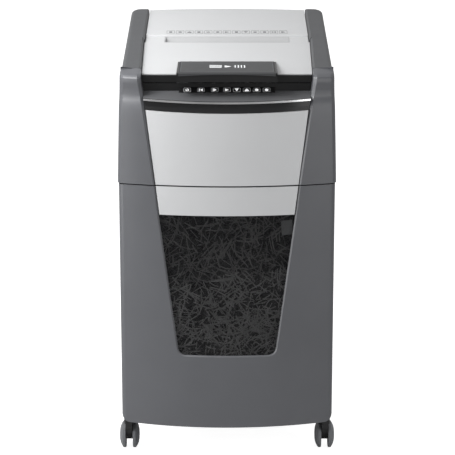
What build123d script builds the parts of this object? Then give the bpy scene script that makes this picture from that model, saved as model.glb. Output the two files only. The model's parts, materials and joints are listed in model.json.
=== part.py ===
from build123d import *
import math
import os

# Free-standing paper shredder with an automatic feed tray, millimetres.
# Origin: on the floor under the middle of the machine. +Z up, the front faces -Y.

# ---------------------------------------------------------------- driving dimensions
BODY_HALF = 191.8            # half width of the cabinet
FRONT_Y = -189.0             # plane of the two front corners
BULGE = 36.0                 # how far the front bows forward of its corners
REAR_Y = 213.0               # flat rear wall
REAR_BOW = 12.0              # how far the lid's rear edge bows past the rear wall
BODY_BOTTOM = 66.0
BODY_TOP = 508.0
HEAD_BOTTOM = 510.0
WALL = 3.2
BIN_SPLIT_Y = -175.0         # seam between the bin front and the cabinet
CORNER_R = 12.0
REAR_R = 20.0
BOTTOM_R = 15.0

ARC_R = (BODY_HALF ** 2 + BULGE ** 2) / (2 * BULGE)
ARC_Y = FRONT_Y - BULGE + ARC_R

# Head: how far its front lies behind the bowed front, and its half width, by height.
HEAD_LEVELS = [
    (HEAD_BOTTOM, 0.0, 193.7),
    (575.0, 0.1, 192.0),
    (612.0, 0.2, 190.9),
    (635.0, 0.6, 190.3),
    (651.0, 1.6, 189.8),
    (659.0, 2.9, 189.5),
    (664.0, 4.7, 189.3),
    (668.0, 6.6, 189.2),
    (675.0, 7.3, 189.0),
    (685.0, 6.5, 188.6),
    (691.5, 7.2, 188.5),
    (697.0, 10.4, 188.3),
    (701.5, 17.5, 188.2),
    (705.0, 33.0, 188.1),
    (708.5, 50.0, 188.0),
]

# Outline of the tapering front opening, half width by height.
OPENING = [(86.0, 200.0), (120.3, 455.0), (126.8, 508.0), (143.2, 640.0), (150.6, 690.0), (152.0, 715.0)]
WINDOW_BOTTOM = 201.0
WINDOW_TOP = 456.5
WINDOW_R = 14.0

# Lid: the silver top is a plane that rises to the rear.
LID_FRONT_Y = -152.0
LID_FRONT_Z = 699.7
LID_SLOPE = 0.21
LID_HALF = 150.2
LID_STEP_Y = 21.5            # behind this line the lid field is narrower
LID_WIDE_HALF = 154.2
LID_REAR_HALF = 152.4
ARM_FRONT_Y = -147.8
ARM_PROUD = 8.0
ARM_FRONT_HALF = 186.8
ARM_REAR_HALF = 188.0
ARM_BEVEL = 3.5
ARM_GAP = 1.3                # between an arm and the silver field
FIELD_GAP = 1.5              # between the frame and the silver front panels
SEAM_FRONT_Z = 700.0
SEAM_REAR_Z = 707.5
HINGE_Y = 219.0
HINGE_Z = 706.0
HINGE_PIN_R = 2.5
SKIN = 2.5

# Grip tab at the front of the lid, with black cheeks beside it.
TAB_HALF = 84.6
CHEEK_HALF = 88.0
TAB_REAR_Y = -95.0
TAB_REAR_Z = 714.0
TAB_FRONT_Z = 706.6
TAB_CORNER_R = 3.5
LIP_TOP = 702.6              # top of the black lip at its middle, under the tab
LIP_BOTTOM = 687.0
LIP_ARCH_R = TAB_HALF ** 2 / (2 * 2.6)

# Ledge below the controls, sloping down to the front.
LEDGE_TILT = 10.0
LEDGE_FRONT_Z = 658.5
LEDGE_FRONT_Y = -222.0
BELT_Y = -159.0

# Manual feed slot and the cutting block under it.
SLOT_HALF = 115.0
SLOT_Y = 26.0
SLOT_FRONT_Y = 21.6          # front edge of the funnel
SLOT_REAR_Y = 54.6
FUNNEL_Z = 722.0             # where the funnel meets the throat
SLOT_THROAT = 6.0
CUTTER_GAP = 38.0
CUTTER_Z = 620.0
DISC_R = 21.0
CORE_R = 15.5
DISC_T = 4.2
DISC_PITCH = 9.2
DISC_COUNT = 25
JOURNAL_R = 6.0
FIT = 0.05
PLATE_X = 130.0              # inner face of each side plate
PLATE_T = 4.0
ROLLER_Y = 27.0              # feed roller axes, each side of the slot
ROLLER_R = 14.5
ROLLER_Z = CUTTER_Z + math.sqrt(58.0 ** 2 - (ROLLER_Y + CUTTER_GAP / 2) ** 2)
TRAY_HALF = 124.0
TRAY_TOP = 668.0

# Gear train on the right: module, teeth and places.
GEAR_M = 2.0
SYNC_TEETH = 19
DRIVE_TEETH = 36
SMALL_TEETH = 12
LARGE_TEETH = 44
LARGE_M = 1.5
PINION_TEETH = 12
FEED_CUTTER_TEETH = 30
FEED_ROLLER_TEETH = 28
GEAR_T = 12.0
FRONT_AXIS = (SLOT_Y - CUTTER_GAP / 2, CUTTER_Z)
REAR_AXIS = (SLOT_Y + CUTTER_GAP / 2, CUTTER_Z)
STUD_AXIS = (REAR_AXIS[0] + 45.0, CUTTER_Z - math.sqrt(48.0 ** 2 - 45.0 ** 2))
MOTOR_AXIS = (STUD_AXIS[0] + 38.0, STUD_AXIS[1] - math.sqrt(42.0 ** 2 - 38.0 ** 2))
FRONT_ROLLER = (SLOT_Y - ROLLER_Y, ROLLER_Z)
REAR_ROLLER = (SLOT_Y + ROLLER_Y, ROLLER_Z)

# Casters: twin wheels on a swivelling hood.
WHEEL_R = 25.0
WHEEL_T = 11.5
WHEEL_GAP = 13.0
TRAIL = 18.0
CASTER_X = 181.0
CASTER_FRONT_Y = -161.0
CASTER_REAR_Y = 176.0
STEM_R = 3.5

WINDOW_BEVEL = 2.4
PLATE_Z = 676.0              # underside of the pressure plate at rest
ROCKER_AXIS = (206.0, 560.0)
ROCKER_TILT = 8.0
ROCKER_PIVOT_R = 1.5


# ---------------------------------------------------------------- helpers
def block(x0, x1, y0, y1, z0, z1):
    size = Box(x1 - x0, y1 - y0, z1 - z0)
    return Pos((x0 + x1) / 2, (y0 + y1) / 2, (z0 + z1) / 2) * size


def side_prism(points, x0, x1):
    """A polygon drawn in Y and Z, extruded along X."""
    face = make_face(Polyline(points, close=True))
    return extrude(Plane.YZ.offset(x0) * face, x1 - x0)


def front_prism(face, y0, y1):
    """A face drawn in X and Z, extruded along Y."""
    plane = Plane(origin=(0, y1, 0), x_dir=(1, 0, 0), z_dir=(0, -1, 0))
    return extrude(plane * face, y1 - y0)


def x_rod(axis, radius, x0, x1):
    return Pos((x0 + x1) / 2, axis[0], axis[1]) * Rot(0, 90, 0) * Cylinder(radius, x1 - x0)


def z_rod(x, y, radius, z0, z1):
    return Pos(x, y, (z0 + z1) / 2) * Cylinder(radius, z1 - z0)


def plan(half_front, half_rear, front_y, rear_y, front_r, rear_r, rear_bow=0.0):
    """Outline seen from above: bowed front, straight sides, flat or bowed rear."""
    bulge = ARC_R - math.sqrt(ARC_R ** 2 - half_front ** 2)
    edges = [
        ThreePointArc((-half_front, front_y), (0, front_y - bulge), (half_front, front_y)),
        Line((half_front, front_y), (half_rear, rear_y)),
        Line((-half_rear, rear_y), (-half_front, front_y)),
    ]
    if rear_bow:
        edges.append(ThreePointArc((half_rear, rear_y), (0, rear_y + rear_bow), (-half_rear, rear_y)))
    else:
        edges.append(Line((half_rear, rear_y), (-half_rear, rear_y)))
    face = make_face(edges)
    front = face.vertices().sort_by(Axis.Y)[:2]
    face = fillet(front, front_r)
    rear = face.vertices().sort_by(Axis.Y)[-2:]
    return fillet(rear, rear_r)


def opening_half(z):
    """Half width of the tapering front opening at a height."""
    for (w0, z0), (w1, z1) in zip(OPENING, OPENING[1:]):
        if z <= z1:
            return w0 + (w1 - w0) * (z - z0) / (z1 - z0)
    return OPENING[-1][0]


def opening_face(z0, z1, grow, bottom_r=0.0):
    levels = [z0] + [z for _, z in OPENING if z0 < z < z1] + [z1]
    right = [(opening_half(z) + grow, z) for z in levels]
    left = [(-x, z) for x, z in reversed(right)]
    face = make_face(Polyline(right + left, close=True))
    if bottom_r:
        face = fillet(face.vertices().sort_by(Axis.Y)[:2], bottom_r)
    return face


def front_skin(back, thickness, lean=0.0, lean_z=(HEAD_BOTTOM, 640.0)):
    """A bowed wall that follows the front, set back from it, leaning with height."""
    z0, z1 = lean_z
    walls = []
    for radius in (ARC_R - back, ARC_R - back - thickness):
        if lean:
            body = Cone(radius, radius - lean, z1 - z0)
        else:
            body = Cylinder(radius, z1 - z0)
        walls.append(Pos(0, ARC_Y, (z0 + z1) / 2) * body)
    return walls[0] - walls[1]


def ledge_slab(top, bottom):
    """The space between two planes parallel to the ledge, at these heights over it."""
    middle = (top + bottom) / 2
    slab = Box(600, 400, top - bottom)
    return Pos(0, LEDGE_FRONT_Y, LEDGE_FRONT_Z) * Rot(LEDGE_TILT, 0, 0) * Pos(0, 0, middle) * slab


def lid_z(y):
    return LID_FRONT_Z + LID_SLOPE * (y - LID_FRONT_Y)


def seam_z(y):
    return SEAM_FRONT_Z + (SEAM_REAR_Z - SEAM_FRONT_Z) * (y - ARM_FRONT_Y) / (REAR_Y - ARM_FRONT_Y)


def lid_strip(y0, y1, top, bottom, x0, x1):
    """A plate parallel to the lid between two depths measured from its surface."""
    front, rear = lid_z(y0), lid_z(y1)
    points = [(y0, front + bottom), (y1, rear + bottom), (y1, rear + top), (y0, front + top)]
    return side_prism(points, x0, x1)


def gear_face(teeth, module, backlash=0.35, phase=0.0):
    """Involute outline with a little backlash, tooth 0 centred on +X before the phase."""
    pitch_r = teeth * module / 2
    base_r = pitch_r * math.cos(math.radians(20))
    tip_r = pitch_r + 0.85 * module
    root_r = pitch_r - 1.25 * module

    def inv(radius):
        alpha = math.acos(min(1.0, base_r / radius))
        return math.tan(alpha) - alpha

    half = (math.pi * module / 2 - backlash) / 2 / pitch_r + inv(pitch_r)
    start_r = max(base_r, root_r + 0.2)
    radii = [start_r + (tip_r - start_r) * i / 4 for i in range(5)]
    points = []
    for tooth in range(teeth):
        centre = 2 * math.pi * tooth / teeth + math.radians(phase)
        flank = [(r, half - inv(r)) for r in radii]
        up = [(root_r, flank[0][1])] + flank
        points += [(r * math.cos(centre - a), r * math.sin(centre - a)) for r, a in up]
        points += [(r * math.cos(centre + a), r * math.sin(centre + a)) for r, a in reversed(up)]
    return make_face(Polyline(points, close=True))


def gear(axis, teeth, module, x0, x1, phase, bore_r):
    """A spur gear about an X axis; local X is world Y, local Y is world Z."""
    face = Plane.YZ.offset(x0) * (Pos(axis[0], axis[1]) * gear_face(teeth, module, phase=phase))
    return extrude(face, x1 - x0) - x_rod(axis, bore_r, x0 - 1, x1 + 1)


def mesh_phase(here, there, teeth_here, teeth_there, phase_there):
    """Phase, in degrees, that puts a gap of this gear on the line to a tooth of the other."""
    line = math.degrees(math.atan2(there[1] - here[1], there[0] - here[0]))
    offset = (line + 180.0 - phase_there) * teeth_there / 360.0
    return line + (offset + 0.5) * 360.0 / teeth_here


def save(name, shape):
    """Write one node; the solids of a node are kept apart."""
    solids = shape if isinstance(shape, list) else [shape]
    parts = [solid for item in solids for solid in item.solids()]
    node = parts[0] if len(parts) == 1 else Compound(children=parts)
    export_step(node, f"parts/{name}.step")


# ---------------------------------------------------------------- cabinet
def body_envelope(inset):
    """The cabinet and bin front as one rounded block, inset on every outer face."""
    half = BODY_HALF - inset
    outline = plan(half, half, FRONT_Y + inset, REAR_Y - inset, CORNER_R - inset / 2, REAR_R - inset)
    low = BODY_BOTTOM + inset
    high = BODY_TOP - inset
    column = extrude(Pos(0, 0, low) * outline, high - low)
    rounded = make_face(Polyline([(-half, low), (half, low), (half, high), (-half, high)], close=True))
    rounded = fillet(rounded.vertices().sort_by(Axis.Y)[:2], BOTTOM_R - inset)
    return column & front_prism(rounded, -300, 300)


def caster_stems():
    return [(sx * CASTER_X, y) for sx in (-1, 1) for y in (CASTER_FRONT_Y, CASTER_REAR_Y)]


def cabinet_shell():
    shell = body_envelope(0) - body_envelope(WALL)
    shell -= block(-300, 300, -300, BIN_SPLIT_Y + 1.0, 0, 600)
    shell -= block(-300, 300, -300, 300, BODY_TOP - 4.5, 600)
    shell -= block(-200, 200, BIN_SPLIT_Y, BIN_SPLIT_Y + 24, 380, 470)
    for x, y in caster_stems():
        shell -= z_rod(x, y, 7.0, 60, 79)
    for row in range(6):
        shell -= block(-70, 70, 200, 220, 400 + 10 * row, 404 + 10 * row)
    return shell


def cabinet_base():
    base = block(-172, 172, -168, 200, 69.5, 75)
    for sx in (-1, 1):
        base += block(min(sx * 160, sx * 172), max(sx * 160, sx * 172), -168, 200, 74, 82.5)
    for x, y in caster_stems():
        side = math.copysign(1, x)
        base += block(min(x, x - side * 16), max(x, x - side * 16), y - 5.5, y + 5.5, 79.5, 82.5)
        base += block(min(x, x - side * 8), max(x, x - side * 8), y - 5.5, y + 5.5, 79.5, 100)
        base += z_rod(x, y, 5.5, 79.5, 100)
    for x, y in caster_stems():
        base -= z_rod(x, y, STEM_R + FIT, 60, 97)
    return base


def cabinet_deck():
    outline = plan(BODY_HALF - 1.5, BODY_HALF - 1.5, -150, REAR_Y - 1.5, 3, REAR_R - 1.5)
    deck = extrude(Pos(0, 0, BODY_TOP - 4.2) * outline, 4.4)
    deck -= block(-300, 300, -300, -171, 0, 600)
    deck -= block(-126, 126, -34, 90, 490, 520)
    deck += block(-186, 186, -171, -168, 486, BODY_TOP - 1)
    return deck


# ---------------------------------------------------------------- bin
def bin_front():
    shell = body_envelope(0) - body_envelope(WALL)
    shell &= block(-300, 300, -300, BIN_SPLIT_Y, 0, 600)
    shell -= front_prism(opening_face(WINDOW_BOTTOM, BODY_TOP + 2, 0.0, WINDOW_R), -260, -199)
    rim = shell.edges().filter_by(on_window_rim)
    return chamfer(rim, WINDOW_BEVEL)


def on_window_rim(edge):
    """True for the front edges of the window opening, on the bowed face."""
    middle = edge.center()
    reach = math.hypot(middle.X, middle.Y - ARC_Y)
    inside = abs(middle.X) < opening_half(max(middle.Z, 200.0)) + 1.0
    return inside and abs(reach - ARC_R) < 0.6 and WINDOW_BOTTOM - 1 < middle.Z < BODY_TOP - 1


def bin_strip():
    skin = front_skin(1.2, 3.0, 0.0, (WINDOW_TOP + 0.5, BODY_TOP - 0.2))
    return skin & front_prism(opening_face(WINDOW_TOP, BODY_TOP, -FIELD_GAP), -260, -150)


def bin_window():
    skin = front_skin(2.4, 3.0, 0.0, (150, WINDOW_TOP))
    return skin & front_prism(opening_face(WINDOW_BOTTOM + 0.3, WINDOW_TOP + 5, -0.3, WINDOW_R), -260, -150)


def bin_tub():
    front = FRONT_Y + 6.0
    outer = plan(170, 167, front, 196, 4, 18)
    inner = plan(167.5, 164.5, front - 20, 193.5, 1, 16)
    tub = extrude(Pos(0, 0, 84) * outer, 388) - extrude(Pos(0, 0, 87) * inner, 400)
    for sx in (-1, 1):
        tub += block(min(sx * 166, sx * 178), max(sx * 166, sx * 178), -150, 180, 468, 471)
    return tub & block(-300, 300, -300, 300, 80, 472)


# ---------------------------------------------------------------- head shell and front
def head_envelope(inset, bottom, drop=0.0):
    sections = []
    for z, back, half in HEAD_LEVELS:
        level = max(z - drop, bottom) if z == HEAD_LEVELS[0][0] else z - drop
        half_width = half - inset
        front, rear = FRONT_Y + back + inset, REAR_Y - inset
        outline = plan(half_width, half_width, front, rear, CORNER_R, REAR_R - inset)
        sections.append(Pos(0, 0, level) * outline)
    return loft(sections, ruled=True)


def column_webs(envelope):
    outer = front_prism(opening_face(HEAD_BOTTOM, 714, 3.0), -260, -146)
    inner = front_prism(opening_face(HEAD_BOTTOM - 1, 716, 0.0), -261, -100)
    return (outer - inner) & envelope


def head_housing():
    outer = head_envelope(0, HEAD_BOTTOM)
    inner = head_envelope(WALL, HEAD_BOTTOM - 2, 3.0)
    shell = outer - inner - block(-180, 180, -180, 205, 500, 520)
    shell -= front_prism(opening_face(HEAD_BOTTOM - 2, 730, 0.0), -260, -146)
    shell -= block(-176, 176, ARM_FRONT_Y + 2, 200, 680, 740)
    shell += column_webs(outer)
    seam = [(ARM_FRONT_Y - 1.2, 740), (ARM_FRONT_Y - 1.2, SEAM_FRONT_Z), (300, seam_z(300)), (300, 740)]
    shell -= side_prism(seam, -300, 300)
    shell -= block(-151, -99, 205, 220, 544, 576)
    for row in range(5):
        shell -= block(40, 130, 205, 220, 560 + 9 * row, 564 + 9 * row)
    ring_outer = plan(188, 188, -160, REAR_Y - 2, 2, 18)
    ring_inner = plan(184, 184, -200, REAR_Y - 6, 1, 14)
    ring = extrude(Pos(0, 0, BODY_TOP + 0.5) * (ring_outer - ring_inner), 5)
    shell += ring & block(-300, 300, -168, 300, 500, 520)
    return shell


def front_fascia():
    skin = front_skin(2.0, 3.0, 0.8, (HEAD_BOTTOM + 0.3, 645))
    fascia = skin & front_prism(opening_face(HEAD_BOTTOM, 650, -FIELD_GAP), -260, -150)
    return fascia - ledge_slab(40, -20.6)


def front_ledge():
    disc = Pos(0, ARC_Y, 660) * Cylinder(ARC_R - 4.8, 60)
    ledge = disc & front_prism(opening_face(600, 700, -0.3), -260, BELT_Y - 0.3)
    return ledge & ledge_slab(0, -4.0)


def ledge_trim():
    skin = front_skin(1.4, 3.2, 0.0, (630, 690))
    return (skin & front_prism(opening_face(600, 700, -0.4), -260, -150)) & ledge_slab(-0.3, -3.5)


def black_trim():
    """A recessed black band, and below it a band that slopes out to the fascia."""
    recess = front_skin(7.0, 3.2, 0.0, (620, 690)) & ledge_slab(-4.1, -20.3)
    slope = front_skin(3.0, 3.2, 3.8, (637.0, 648.0)) & ledge_slab(-10.8, -20.3)
    return (recess + slope) & front_prism(opening_face(600, 700, -0.4), -260, -150)


def control_belt():
    belt = front_prism(opening_face(660, 683, -0.3), BELT_Y, BELT_Y + 3)
    return belt + front_prism(opening_face(680.5, 683, -0.3), BELT_Y, BELT_Y + 7)


def control_panel():
    """A wedge whose sloping face carries the touch keys."""
    rear = BELT_Y - 0.2
    points = [(rear, 640.0), (rear, 676.0), (rear - 1.2, 676.0), (-171.0, 668.6), (-171.0, 640.0)]
    panel = side_prism(points, -TAB_HALF, TAB_HALF)
    return panel - ledge_slab(0.2, -80)


def control_board():
    board = block(-72, 72, BELT_Y + 3.2, BELT_Y + 4.8, 662, 680)
    for i in range(8):
        x = -63 + 18 * i
        board += block(x - 3, x + 3, BELT_Y + 4.6, BELT_Y + 6.4, 669, 675)
    return board


# ---------------------------------------------------------------- tray and cutting block
def paper_tray():
    tray = block(-126.5, 126.5, -148, 198, TRAY_TOP - 3, 692)
    tray -= block(-TRAY_HALF, TRAY_HALF, -145.5, 195.5, TRAY_TOP, 700)
    flange = block(-180, 180, -145, 203, 689.5, 692)
    flange -= block(-126, 126, -140, 198, 680, 700)
    flange += block(-149, 149, -151, -144, 687, 689.5)
    tray += flange
    tray -= block(-118, 118, SLOT_Y - 9, SLOT_Y + 9, 650, 680)
    for x in (-75, 0, 75):
        for y, _ in (FRONT_ROLLER, REAR_ROLLER):
            tray -= block(x - 15.5, x + 15.5, y - 13.5, y + 13.5, 650, 680)
    for sx in (-1, 1):
        tray -= block(min(sx * 151, sx * 200), max(sx * 151, sx * 200), -160, -140, 680, 700)
    return tray


def cutter(axis, shift, journal_left, journal_right):
    """A toothed cutter shaft: discs on a core, with slanting notches for the cross cut."""
    profile = [(-PLATE_X + 0.5, 0), (-PLATE_X + 0.5, 9.0), (-118.0, 9.0), (-118.0, CORE_R)]
    first = -DISC_PITCH * (DISC_COUNT - 1) / 2 + shift
    for i in range(DISC_COUNT):
        centre = first + DISC_PITCH * i
        profile += [(centre - DISC_T / 2, CORE_R), (centre - DISC_T / 2, DISC_R)]
        profile += [(centre + DISC_T / 2, DISC_R), (centre + DISC_T / 2, CORE_R)]
    profile += [(118.0, CORE_R), (118.0, 9.0), (PLATE_X - 0.5, 9.0), (PLATE_X - 0.5, 0)]
    face = make_face(Polyline(profile, close=True))
    shaft = revolve(face, Axis.X)
    for i in range(7):
        notch = Rot(360 / 7 * i, 0, 0) * Pos(0, 0, DISC_R) * Rot(0, 0, 2) * Box(240, 3.0, 4.4)
        shaft -= notch
    shaft = Pos(0, axis[0], axis[1]) * shaft
    shaft += x_rod(axis, JOURNAL_R, -PLATE_X - 7, -PLATE_X + 1)
    shaft += x_rod(axis, JOURNAL_R, PLATE_X - 1, PLATE_X + 7)
    shaft += x_rod(axis, 5.0, -journal_left, -PLATE_X)
    shaft += x_rod(axis, 5.0, PLATE_X, journal_right)
    return shaft


def side_plates():
    plates = []
    for x0 in (-PLATE_X - PLATE_T, PLATE_X):
        points = [(-38, 508.8), (166, 508.8), (166, 612), (96, 672), (-20, 672), (-38, 650)]
        plate = side_prism(points, x0, x0 + PLATE_T)
        for axis in (FRONT_AXIS, REAR_AXIS):
            plate -= x_rod(axis, 9.0, x0 - 1, x0 + 5)
        for axis in (FRONT_ROLLER, REAR_ROLLER):
            plate -= x_rod(axis, 4.0 + FIT, x0 - 1, x0 + 5)
        plate -= x_rod(MOTOR_AXIS, 7.0, x0 - 1, x0 + 5)
        for axis in rod_axes() + [STUD_AXIS]:
            plate -= x_rod(axis, 4.0, x0 - 1, x0 + 5)
        plates.append(plate)
    return plates


def rod_axes():
    return [(-28, 560), (-28, 600), (80, 655), (88, 556)]


def tie_rods():
    rods = []
    for axis in rod_axes():
        rods.append(x_rod(axis, 5.0, -PLATE_X, PLATE_X) + x_rod(axis, 4.0, -PLATE_X - 7, PLATE_X + 7))
    rods.append(x_rod(STUD_AXIS, 4.0, PLATE_X, 186 - 3) + x_rod(STUD_AXIS, 7.0, PLATE_X - 3, PLATE_X))
    return rods


def shaft_bushes():
    bushes = []
    for axis in (FRONT_AXIS, REAR_AXIS):
        for side in (-1, 1):
            x0 = side * PLATE_X if side > 0 else -PLATE_X - PLATE_T
            bush = x_rod(axis, 9.0, x0, x0 + PLATE_T)
            rim = x0 + PLATE_T if side > 0 else x0 - 2
            bush += x_rod(axis, 11.0, rim, rim + 2)
            bushes.append(bush - x_rod(axis, JOURNAL_R + FIT, x0 - 4, x0 + 8))
    return bushes


def cutter_combs():
    combs = []
    for axis, side, shift in ((FRONT_AXIS, -1, DISC_PITCH / 2), (REAR_AXIS, 1, 0.0)):
        back = axis[0] + side * 31
        near = axis[0] + side * 23
        comb = block(-124, 124, min(back, near), max(back, near), CUTTER_Z - 10, CUTTER_Z + 10)
        reach = axis[0] + side * (CORE_R + 0.8)
        for i in range(DISC_COUNT - 1):
            x = -DISC_PITCH * (DISC_COUNT - 1) / 2 + DISC_PITCH * i + shift
            low, high = min(reach, near + side), max(reach, near + side)
            comb += block(x - 1.9, x + 1.9, low, high, CUTTER_Z - 4, CUTTER_Z + 4)
        combs.append(comb)
    return combs


def motor():
    y, z = MOTOR_AXIS
    body = x_rod(MOTOR_AXIS, 36.0, -30, 118) + x_rod(MOTOR_AXIS, 30.0, -44, -30)
    body += x_rod(MOTOR_AXIS, 20.0, 118, PLATE_X)
    body += block(-10, 100, y - 26, y + 26, 509.0, z - 20)
    body -= x_rod(MOTOR_AXIS, 5.0, 90, PLATE_X + 1)
    for i in range(12):
        body -= Pos(-37, y, z) * Rot(30 * i, 0, 0) * Pos(0, 0, 30) * Box(8, 5, 6)
    return body


def gears():
    """Every gear, turned so that each pair is in mesh at rest."""
    sync_front = 0.0
    sync_rear = mesh_phase(REAR_AXIS, FRONT_AXIS, SYNC_TEETH, SYNC_TEETH, sync_front)
    small = mesh_phase(STUD_AXIS, REAR_AXIS, SMALL_TEETH, DRIVE_TEETH, 0.0)
    pinion = mesh_phase(MOTOR_AXIS, STUD_AXIS, PINION_TEETH, LARGE_TEETH, 0.0)
    feed_front = mesh_phase(FRONT_ROLLER, REAR_AXIS, FEED_ROLLER_TEETH, FEED_CUTTER_TEETH, 0.0)
    feed_rear = mesh_phase(REAR_ROLLER, FRONT_AXIS, FEED_ROLLER_TEETH, FEED_CUTTER_TEETH, 0.0)
    sync_x, drive_x, motor_x = 139.0, 153.0, 167.0
    near_x, far_x = -141.0, -151.0
    front = [gear(FRONT_AXIS, SYNC_TEETH, GEAR_M, sync_x, sync_x + GEAR_T, sync_front, 5.0)]
    front.append(gear(FRONT_AXIS, FEED_CUTTER_TEETH, GEAR_M, far_x - 8, far_x, 0.0, 5.0))
    rear = [gear(REAR_AXIS, SYNC_TEETH, GEAR_M, sync_x, sync_x + GEAR_T, sync_rear, 5.0)]
    rear.append(gear(REAR_AXIS, DRIVE_TEETH, GEAR_M, drive_x, drive_x + GEAR_T, 0.0, 5.0))
    rear.append(gear(REAR_AXIS, FEED_CUTTER_TEETH, GEAR_M, near_x - 8 + 4, near_x + 4, 0.0, 5.0))
    reduction = gear(STUD_AXIS, SMALL_TEETH, GEAR_M, drive_x, motor_x + 1, small, 4.0 + FIT)
    reduction += gear(STUD_AXIS, LARGE_TEETH, LARGE_M, motor_x, motor_x + 10, 0.0, 4.0 + FIT)
    motor_pinion = gear(MOTOR_AXIS, PINION_TEETH, LARGE_M, motor_x, motor_x + 10, pinion, 1.0)
    motor_pinion += x_rod(MOTOR_AXIS, 4.0, 92, motor_x + 10)
    roller_front = gear(FRONT_ROLLER, FEED_ROLLER_TEETH, GEAR_M, near_x - 4, near_x + 4, feed_front, 4.0)
    roller_rear = gear(REAR_ROLLER, FEED_ROLLER_TEETH, GEAR_M, far_x - 8, far_x, feed_rear, 4.0)
    return front, rear, reduction, motor_pinion, roller_front, roller_rear


def feed_shaft(axis, left):
    return x_rod(axis, 5.0, -PLATE_X + 1, PLATE_X - 1) + x_rod(axis, 4.0, -left, PLATE_X + 6)


def feed_tyres(axis):
    return [x_rod(axis, ROLLER_R, x - 13, x + 13) - x_rod(axis, 5.0, x - 20, x + 20) for x in (-75, 0, 75)]


# ---------------------------------------------------------------- electrics
def power_board():
    board = block(-120, -60, 100, 196, 513, 515)
    for x, y in ((-115, 106), (-65, 106), (-115, 190), (-65, 190)):
        board += z_rod(x, y, 3.0, 508.8, 513.5)
    board += block(-112, -84, 112, 140, 514.5, 540)
    board += z_rod(-72, 124, 8.0, 514.5, 545)
    board += z_rod(-72, 146, 8.0, 514.5, 545)
    return board + block(-112, -80, 156, 184, 514.5, 530)


def mains_inlet():
    inlet = block(-150.7, -99.3, 186, REAR_Y, 544.3, 575.7)
    inlet += block(-154, -96, REAR_Y, REAR_Y + 1.8, 541, 579)
    inlet -= block(-147, -123, 196, REAR_Y + 5, 549, 571)
    inlet -= block(-119.5, -104.5, 200, REAR_Y + 5, 548, 572)
    for x, z in ((-141, 557), (-135, 563), (-129, 557)):
        inlet += block(x - 1, x + 1, 195, 208, z - 2, z + 2)
    return inlet - x_rod(ROCKER_AXIS, ROCKER_PIVOT_R + FIT, -121.4, -102.6)


def power_rocker():
    """A dished rocker, tipped to its off side."""
    rocker = block(-119.0, -105.0, -2.5, 10.0, -9.6, 9.6)
    rocker -= Pos(-112, 14.5, 0) * Rot(0, 90, 0) * Cylinder(7.5, 20)
    rocker += x_rod((0, 0), ROCKER_PIVOT_R, -121.0, -103.0)
    return Pos(0, ROCKER_AXIS[0], ROCKER_AXIS[1]) * Rot(-ROCKER_TILT, 0, 0) * rocker


# ---------------------------------------------------------------- lid
def lid_field(grow):
    """The silver field between the arms, seen from above."""
    slope = (LID_WIDE_HALF - LID_HALF) / (LID_STEP_Y - LID_FRONT_Y)
    front_half = LID_HALF - slope * (LID_FRONT_Y + 200.0)
    right = [(front_half + grow, -200.0), (LID_WIDE_HALF + grow, LID_STEP_Y + grow)]
    right += [(LID_REAR_HALF + grow, LID_STEP_Y + grow), (LID_REAR_HALF + grow, 300.0)]
    return right


def mirrored_face(right, stretch=1.0):
    """A face from the right half of its outline, mirrored to the left."""
    points = [(x, y * stretch) for x, y in right]
    left = [(-x, y) for x, y in reversed(points)]
    return make_face(Polyline(points + left, close=True))


def lid_block(grow):
    return extrude(mirrored_face(lid_field(grow)), 900)


def arm_bevel_wedge():
    """What the arms' inner bevel cuts away: the lid field, flaring out to the arms' crest."""
    tilt = math.atan(LID_SLOPE)
    upward = (0, -math.sin(tilt), math.cos(tilt))
    crest = Plane(origin=(0, 0, lid_z(0) + ARM_PROUD), x_dir=(1, 0, 0), z_dir=upward)
    field = mirrored_face(lid_field(ARM_GAP + ARM_BEVEL), 1 / math.cos(tilt))
    return extrude(crest * field, -ARM_BEVEL, taper=45)


def slot_cut(grow, y1):
    return block(-SLOT_HALF - 2 - grow, SLOT_HALF + 2 + grow, SLOT_FRONT_Y - 1.6 - grow, y1, 690, 770)


def lid_front_panel():
    panel = lid_strip(LID_FRONT_Y, 55.6, 0, -SKIN, -160, 160)
    z = lid_z(LID_FRONT_Y)
    y = LID_FRONT_Y
    panel += side_prism([(y, z), (y - 1.4, z - 0.8), (y - 1.8, z - SKIN), (y + 1, z - SKIN)], -150, 150)
    panel &= lid_block(0)
    return panel - slot_cut(0, 60) - tab_pocket(0.3)


def tab_pocket(grow):
    half = CHEEK_HALF + grow
    return block(-half, half, -230, TAB_REAR_Y + grow, 690, 740)


def lid_rear_panel():
    points = [(56, lid_z(56) - SKIN), (58.5, lid_z(58.5) + 2.5)]
    points += [(240, lid_z(240) + 2.5), (240, lid_z(240) - SKIN)]
    panel = side_prism(points, -160, 160)
    outline = plan(186, 186, -150, REAR_Y, 3, 18, REAR_BOW)
    return (panel & extrude(outline, 900)) & lid_block(0)


def slot_insert():
    """A funnel whose long rear slope leads the sheet forward into the throat."""
    y0, y1 = SLOT_FRONT_Y - 1.3, SLOT_REAR_Y + 0.7
    profile = [(y0, 702), (32, 702), (33.5, 716), (y1, lid_z(y1) - 9), (y1, lid_z(y1)), (y0, lid_z(y0))]
    body = side_prism(profile, -SLOT_HALF - 1.7, SLOT_HALF + 1.7)
    throat = (SLOT_Y - SLOT_THROAT / 2, SLOT_Y + SLOT_THROAT / 2)
    funnel = [(SLOT_FRONT_Y, 780), (throat[0], FUNNEL_Z), (throat[0], 690), (throat[1], 690)]
    funnel += [(throat[1], FUNNEL_Z), (SLOT_REAR_Y, lid_z(SLOT_REAR_Y) - 0.6), (SLOT_REAR_Y, 780)]
    return body - side_prism(funnel, -SLOT_HALF, SLOT_HALF)


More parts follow.
